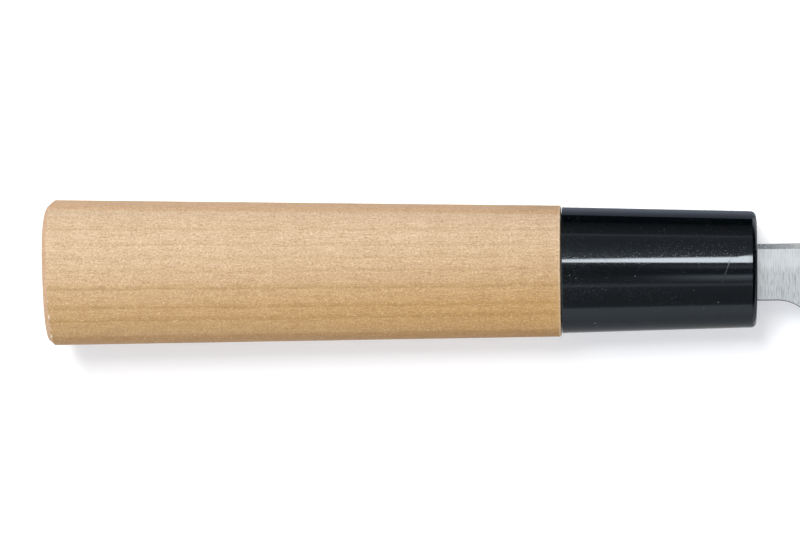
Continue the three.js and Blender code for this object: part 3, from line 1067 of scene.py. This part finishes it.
def steel_material():
    """Satin steel ground spine to edge, rough spine, choil and heel dark with scale and painted shade."""
    tones = bpy.context.scene.deba_finish
    finish = Finish(bpy.data.materials.new("ground_steel"))
    place = finish.place()
    x, y, _ = finish.split(place)
    normal = finish.node("ShaderNodeNewGeometry", None, None, "Normal")
    _, up, out = knife_frame().to_3x3().transposed()
    turn = abs(finish.along(normal, out))
    face = finish.step(turn, *FACE_TURN)
    broken = finish.step(turn, *BREAK_TURN) * (1 - face)
    under = finish.step(finish.along(normal, up), *UNDER_TURN)
    furrows = finish.noise(place, **FURROWS)
    lines = finish.step(furrows, *FURROW_LEVELS)
    polish_and_highlight = finish.step(y, *POLISH_RISE) * finish.step(x, *POLISH_ALONG)
    ground = finish.mix(lines * (FURROW_COVER - polish_and_highlight * POLISH_COVER), tones.steel, tones.ground_line)
    drift = finish.swing(place, **DRIFT)
    # Painted highlight that makes the steel paler up the neck
    ground = finish.tint(ground, 1 + drift * DRIFT_SHADE + polish_and_highlight * POLISH_HIGHLIGHT)
    grit = finish.noise(place, **GRIT)
    # Scale and painted shade where the rough steel turns down
    rough = finish.mix(under, tones.cut_steel, tones.scale_and_shade_steel)
    # Grit, and painted shade on the broken edges
    rough = finish.tint(rough, (1 + (grit - NOISE_MIDDLE) * GRIT_SHADE) * (1 - broken * BREAK_PAINTED_SHADE))
    smoother = lines * FURROW_ROUGHNESS + (GROUND_ROUGHNESS - ROUGH_ROUGHNESS)
    relief = face * (furrows * FURROW_RELIEF) + (1 - face) * grit
    return finish.surface({
        "Base Color": finish.mix(face, rough, ground),
        "Metallic": 1.0,
        "Roughness": ROUGH_ROUGHNESS + face * smoother,
        "Normal": finish.bump(relief, *STEEL_BUMP),
    })


# Swirls of the cured resin
SWIRLS = {"stretch": (0.8, 0.8, 0.8), "detail": 3.0}
SWIRL_SHADE = 0.4
SWIRL_ROUGHNESS = 0.2
RESIN_ROUGHNESS = 0.45


def resin_material(name, tone):
    """Cured resin with small swirls."""
    finish = Finish(bpy.data.materials.new(name))
    swirls = finish.swing(finish.place(), **SWIRLS)
    return finish.surface({
        "Base Color": finish.tint(tone, 1 + swirls * SWIRL_SHADE),
        "Roughness": RESIN_ROUGHNESS + swirls * SWIRL_ROUGHNESS,
    })


# Pieces

class DEBA_OT_wooden_grip(bpy.types.Operator):
    """Builds the wooden grip"""

    bl_idname = "deba.wooden_grip"
    bl_label = "Wooden grip"

    def execute(self, context):
        add_piece("wooden_grip", grip_mesh(), wood_material(), "wood", "grip")
        return {"FINISHED"}


class DEBA_OT_ferrule(bpy.types.Operator):
    """Builds the glossy black ferrule"""

    bl_idname = "deba.ferrule"
    bl_label = "Ferrule"

    def execute(self, context):
        add_piece("black_ferrule", ferrule_mesh(), plastic_material(), "black_plastic", "ferrule")
        return {"FINISHED"}


class DEBA_OT_blade(bpy.types.Operator):
    """Builds the blade with its neck and tang"""

    bl_idname = "deba.blade"
    bl_label = "Blade"

    def execute(self, context):
        add_piece("steel_blade", blade_mesh(), steel_material(), "steel", "blade")
        return {"FINISHED"}


class DEBA_OT_resin(bpy.types.Operator):
    """Builds the seal in the slot and finishes the bedding round the tang"""

    bl_idname = "deba.resin"
    bl_label = "Resin"

    def execute(self, context):
        tones = context.scene.deba_finish
        seal = resin_material("seal_resin", tones.seal)
        add_piece("slot_seal", seal_mesh(), seal, "seal_resin", "mouth_seal")
        bedding = frame["nodes"]["tang_bedding"]
        bedding.data.materials.clear()
        bedding.data.materials.append(resin_material("bedding_resin", tones.bedding))
        return {"FINISHED"}


# Studio

# Width of the camera's sensor in millimetres
SENSOR_WIDTH = 36
# Brightness of the room round the knife: angle from straight up towards the spine, in degrees, and
# radiance, where 1 is white
ROOM = (
    # Wall on the edge's side, and the darker ceiling above it with one thin bright line
    (-180, 0.5), (-84, 0.5), (-62, 0.69), (-48, 0.76), (-44, 0.25), (-38, 0.22), (-28, 0.23), (-23, 0.26),
    (-20.2, 0.28), (-19.4, 0.85), (-18.7, 0.25), (-15, 0.15), (-10, 0.18),
    # Glow round the softbox, and the ceiling past it
    (-7, 0.36), (2, 0.62), (7, 0.54), (11, 0.4), (18, 0.33), (30, 0.28), (40, 0.31),
    # Another thin line, and the wall on the spine's side, which fades to dark
    (44.6, 0.37), (46.3, 0.7), (48, 0.29), (54, 0.2), (65, 0.16), (76, 0.11), (88, 0.065), (103, 0.05),
    (120, 0.025),
)
# Thin bright lines that only the front half of the ferrule mirrors, given as the room is, and where
# they start along the handle, in degrees
LINES = ((-17.3, 0), (-16.7, 1.5), (-16.1, 0), (-12.5, 0), (-11, 0.2), (-9.2, 0.62), (-8.2, 0))
LINES_START = (2.9, 5)
# Radiance at the top of the ramps that hold the room and the lines
ROOM_TOP = 2
# Softbox overhead, in degrees: its soft ends along the handle, its soft lower edge, and its upper edge,
# which slants up from a corner to a highest place and is soft too
SOFTBOX = {"start": (0.3, 1.9), "end": (11.5, 7.5), "low": (-5.8, -4.4), "corner": (2.4, -1.5),
           "slant": 1.3, "highest": 12, "high": (1.6, -1.2)}
SOFTBOX_RADIANCE = 11.8
SOFTBOX_TINT = (1.08, 1, 0.92)
# Where the softbox grows dim towards its upper edge, in degrees, and by how much
SOFTBOX_DIM = (2.5, 5.5)
SOFTBOX_DIMMING = 0.78
# Wide dim panel behind the softbox, which the blade's face mirrors: its four soft edges in degrees
PANEL = {"back": (-40, -28), "front": (1.4, 0.1), "low": (-52, -40), "high": (16, 4)}
PANEL_RADIANCE = 1.5
# Part of the room past the tip that the gloss finds dark: its soft edges in degrees
DARK = {"start": (8.5, 13), "low": (-62, -48), "high": (75, 60)}
DARKNESS = 0.93
# Key lamp: angles from straight up in degrees, distance and size in metres, and radiance
KEY = {"across": 27.5, "along": -13, "distance": 1.3, "width": 0.42, "depth": 0.5, "radiance": 14.6}
# Watts that a square metre of an area lamp takes for a radiance of 1
LAMP_WATTS = 4
# Width of the floor in metres
FLOOR_SIZE = 8
# Flags on the floor that only the gloss sees, in millimetres and degrees: how far they reach behind the
# ferrule, ahead of it or of the tip, and under it, their height, the slant of their front ends, and
# where and how softly the upper flag changes its tone
FLAG = {"behind": 10, "ahead": 60, "under": 2, "height": 0.3, "spread": 12, "change": 16.5, "soft": 0.5}
# Tones of the upper flag near the ferrule and far from it, and of the lower flag
FLAG_NEAR = (0.255, 0.285, 0.345)
FLAG_FAR = (0.018, 0.026, 0.032)
FLAG_LOW = (0.5, 0.5, 0.5)
# Paler tone of both flags beside the blade, and where it starts ahead of the ferrule, in millimetres
FLAG_BLADE = (0.95, 0.95, 0.93)
FLAG_BLADE_START = (0.5, 6)


def add_camera(context):
    """Camera over the handle, turned from the blade's face towards the spine."""
    studio = context.scene.deba_studio
    along = Vector((1, 0, 0))
    rise = Vector((0, math.cos(studio.view_roll), -math.sin(studio.view_roll)))
    back = along.cross(rise) * math.cos(studio.view_turn) + along * math.sin(studio.view_turn)
    level = rise.cross(back)
    right = level * math.cos(studio.image_roll) - rise * math.sin(studio.image_roll)
    up = back.cross(right)
    place = along * studio.view_place + rise * studio.view_rise + back * studio.view_distance
    data = bpy.data.cameras.new("camera")
    data.lens = studio.lens
    data.sensor_width = SENSOR_WIDTH
    camera = bpy.data.objects.new("camera", data)
    turn = Matrix((right, up, back)).transposed().to_4x4()
    camera.matrix_world = knife_frame() @ Matrix.Translation(place) @ turn
    context.scene.collection.objects.link(camera)
    context.scene.camera = camera


def add_card(name, corners, height, material):
    """Flat level stage card with these corners."""
    mesh = bmesh.new()
    mesh.faces.new([mesh.verts.new((x, y, height)) for x, y in corners])
    data = bpy.data.meshes.new(name)
    mesh.to_mesh(data)
    mesh.free()
    data.materials.append(material)
    card = bpy.data.objects.new(name, data)
    bpy.context.scene.collection.objects.link(card)
    return card


def floor_material(studio):
    """White floor that keeps the shadow: where it is seen, some light is added, more at the spine."""
    finish = Finish(bpy.data.materials.new("white_floor"))
    camera, glossy, through = finish.rays("Camera", "Glossy", "Transmission")
    seen = camera + glossy + through
    plain = finish.node("ShaderNodeBsdfDiffuse", None, {"Color": studio.floor})
    _, y, _ = finish.split(finish.coordinates("Object"))
    low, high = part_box("ferrule")
    tone = finish.mix(camera * finish.step(y, low.y, high.y), studio.floor_glow, studio.spine_glow)
    glow = finish.node("ShaderNodeEmission", None, {"Color": tone, "Strength": 1.0})
    lit = finish.node("ShaderNodeAddShader", None, {0: plain, 1: glow})
    mixed = finish.node("ShaderNodeMixShader", None, {0: seen, 1: plain, 2: lit})
    finish.node("ShaderNodeOutputMaterial", None, {"Surface": mixed})
    return finish.owner


def flag_material(name, near, far, edge):
    """Card with a tone next to the ferrule, another beyond an edge, and a paler one beside the blade."""
    finish = Finish(bpy.data.materials.new(name))
    x, y, _ = finish.split(finish.coordinates("Object"))
    soft = FLAG["soft"] * MM
    beyond = finish.step(y - edge, -soft, soft)
    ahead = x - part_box("ferrule")[1].x - abs(y - edge) * math.tan(math.radians(FLAG["spread"]))
    blade = finish.step(ahead, *(place * MM for place in FLAG_BLADE_START))
    tone = finish.mix(blade, finish.mix(beyond, near, far), FLAG_BLADE)
    glow = finish.node("ShaderNodeEmission", None, {"Color": tone, "Strength": 1.0})
    finish.node("ShaderNodeOutputMaterial", None, {"Surface": glow})
    return finish.owner


def add_flag(name, near, end, far, material):
    """Flag from a near place beside the ferrule to the end of its near edge, and out to a far place."""
    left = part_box("ferrule")[0].x - FLAG["behind"] * MM
    spread = end.x + abs(far - end.y) * math.tan(math.radians(FLAG["spread"]))
    corners = ((left, near), (end.x, end.y), (spread, far), (left, far))
    flag = add_card(name, corners, FLAG["height"] * MM, material)
    flag.visible_camera = False
    flag.visible_diffuse = False
    flag.visible_shadow = False
    flag.visible_transmission = False


def add_floor(context):
    """Floor under the knife, with a flag on each side of it."""
    far = FLOOR_SIZE / 2
    corners = ((-far, -far), (far, -far), (far, far), (-far, far))
    add_card("floor", corners, 0, floor_material(context.scene.deba_studio))
    low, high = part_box("ferrule")
    under = FLAG["under"] * MM
    blade = context.scene.deba_blade
    reach = tip_place(blade) + FLAG["ahead"] * MM
    tip = knife_frame() @ Vector((reach, -blade.tip_depth, 0))
    upper = flag_material("upper_flag", FLAG_NEAR, FLAG_FAR, high.y + FLAG["change"] * MM)
    add_flag("upper_flag", high.y - under, tip, far, upper)
    lower = flag_material("lower_flag", FLAG_LOW, FLAG_LOW, low.y)
    end = Vector((high.x + FLAG["ahead"] * MM, low.y + under))
    add_flag("lower_flag", end.y, end, -far, lower)


def add_lamp(name, target, across, along, distance, width, depth, radiance):
    """Area lamp seen from the target at two angles from straight up: towards +Y and towards +X."""
    out = Vector((math.tan(math.radians(along)), math.tan(math.radians(across)), 1)).normalized()
    right = (Vector((1, 0, 0)) - out * out.x).normalized()
    up = out.cross(right)
    data = bpy.data.lights.new(name, "AREA")
    data.shape = "RECTANGLE"
    data.size = width
    data.size_y = depth
    data.energy = LAMP_WATTS * width * depth * radiance
    lamp = bpy.data.objects.new(name, data)
    turn = Matrix((right, up, out)).transposed().to_4x4()
    lamp.matrix_world = Matrix.Translation(target + out * distance) @ turn
    bpy.context.scene.collection.objects.link(lamp)
    lamp.visible_camera = False
    lamp.visible_glossy = False


def angle_stops(table):
    """Stops of a ramp over the whole turn, as shares of its top."""
    return [((degrees + 180) / 360, radiance / ROOM_TOP) for degrees, radiance in table]


def softbox_shape(finish, across, along):
    """Where the softbox shines: its soft ends, its lower edge and its slanting upper edge."""
    place, height = SOFTBOX["corner"]
    edge = (along - place) * SOFTBOX["slant"] + height
    edge = edge.maths("MINIMUM", edge, SOFTBOX["highest"])
    shape = finish.step(along, *SOFTBOX["start"]) * finish.step(along, *SOFTBOX["end"])
    shape = shape * finish.step(across, *SOFTBOX["low"]) * finish.step(across - edge, *SOFTBOX["high"])
    return shape * (1 - finish.step(across, *SOFTBOX_DIM) * SOFTBOX_DIMMING)


def panel_shape(finish, across, along):
    """Where the panel shines, with its four soft edges."""
    shape = finish.step(along, *PANEL["back"]) * finish.step(along, *PANEL["front"])
    return shape * finish.step(across, *PANEL["low"]) * finish.step(across, *PANEL["high"])


def dark_shape(finish, across, along):
    """Where the room past the tip is dark."""
    shape = finish.step(across, *DARK["low"]) * finish.step(across, *DARK["high"])
    return shape * finish.step(along, *DARK["start"])


def add_room(context):
    """World whose brightness changes with the angle about the handle, white where the camera sees it."""
    world = bpy.data.worlds.new("room")
    context.scene.world = world
    finish = Finish(world)
    x, y, z = finish.split(finish.coordinates("Generated"))
    across = x.maths("ARCTAN2", y, z) * math.degrees(1)
    along = x.maths("ARCSINE", x) * math.degrees(1)
    turn = across / 360 + 0.5
    lines = finish.ramp(turn, angle_stops(LINES)) * finish.step(along, *LINES_START)
    level = (finish.ramp(turn, angle_stops(ROOM)) + lines) * ROOM_TOP
    camera, glossy = finish.rays("Camera", "Glossy")
    level = level * (1 - glossy * dark_shape(finish, across, along) * DARKNESS)
    panel = panel_shape(finish, across, along)
    level = level * (1 - panel) + panel * PANEL_RADIANCE
    room = finish.tint((1, 1, 1), level)
    softbox = finish.tint(SOFTBOX_TINT, softbox_shape(finish, across, along) * SOFTBOX_RADIANCE)
    light = finish.vector("ADD", room, softbox)
    shown = finish.node("ShaderNodeBackground", None, {"Color": light, "Strength": 1.0})
    white = finish.node("ShaderNodeBackground", None, {"Color": (1, 1, 1), "Strength": 1.0})
    mixed = finish.node("ShaderNodeMixShader", None, {0: camera, 1: shown, 2: white})
    finish.node("ShaderNodeOutputWorld", None, {"Surface": mixed})


class DEBA_OT_studio(bpy.types.Operator):
    """Sets up the camera, the floor with its flags, the key lamp and the room"""

    bl_idname = "deba.studio"
    bl_label = "Studio"

    def execute(self, context):
        low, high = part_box("ferrule")
        target = Vector(((low.x + high.x) / 2, (low.y + high.y) / 2, high.z))
        add_camera(context)
        add_floor(context)
        add_lamp("key", target, **KEY)
        add_room(context)
        context.scene.view_settings.view_transform = "Standard"
        return {"FINISHED"}


class DEBA_PT_knife(bpy.types.Panel):
    """Lists the knife's pieces and sizes"""

    bl_idname = "DEBA_PT_knife"
    bl_label = "Deba knife"
    bl_space_type = "VIEW_3D"
    bl_region_type = "UI"
    bl_category = "Deba knife"

    def draw(self, context):
        for operator in OPERATORS:
            self.layout.operator(operator.bl_idname)
        for name in GROUPS:
            box = self.layout.box()
            group = getattr(context.scene, name)
            for field in group.bl_rna.properties:
                if not field.is_readonly and field.identifier != "name":
                    box.prop(group, field.identifier)


OPERATORS = (DEBA_OT_wooden_grip, DEBA_OT_ferrule, DEBA_OT_blade, DEBA_OT_resin, DEBA_OT_studio)
GROUPS = {
    "deba_handle": DEBA_PG_handle,
    "deba_blade": DEBA_PG_blade,
    "deba_finish": DEBA_PG_finish,
    "deba_studio": DEBA_PG_studio,
}
CLASSES = (*GROUPS.values(), *OPERATORS, DEBA_PT_knife)


def register():
    """Registers the classes and hangs the settings on the scene."""
    for cls in CLASSES:
        bpy.utils.register_class(cls)
    for name, group in GROUPS.items():
        setattr(bpy.types.Scene, name, PointerProperty(type=group))


def unregister():
    """Takes the settings and the classes away again."""
    for name in GROUPS:
        delattr(bpy.types.Scene, name)
    for cls in reversed(CLASSES):
        bpy.utils.unregister_class(cls)


def main():
    """Builds every piece and the studio."""
    register()
    bpy.ops.deba.wooden_grip()
    bpy.ops.deba.ferrule()
    bpy.ops.deba.blade()
    bpy.ops.deba.resin()
    bpy.ops.deba.studio()


if __name__ == "__main__":
    main()
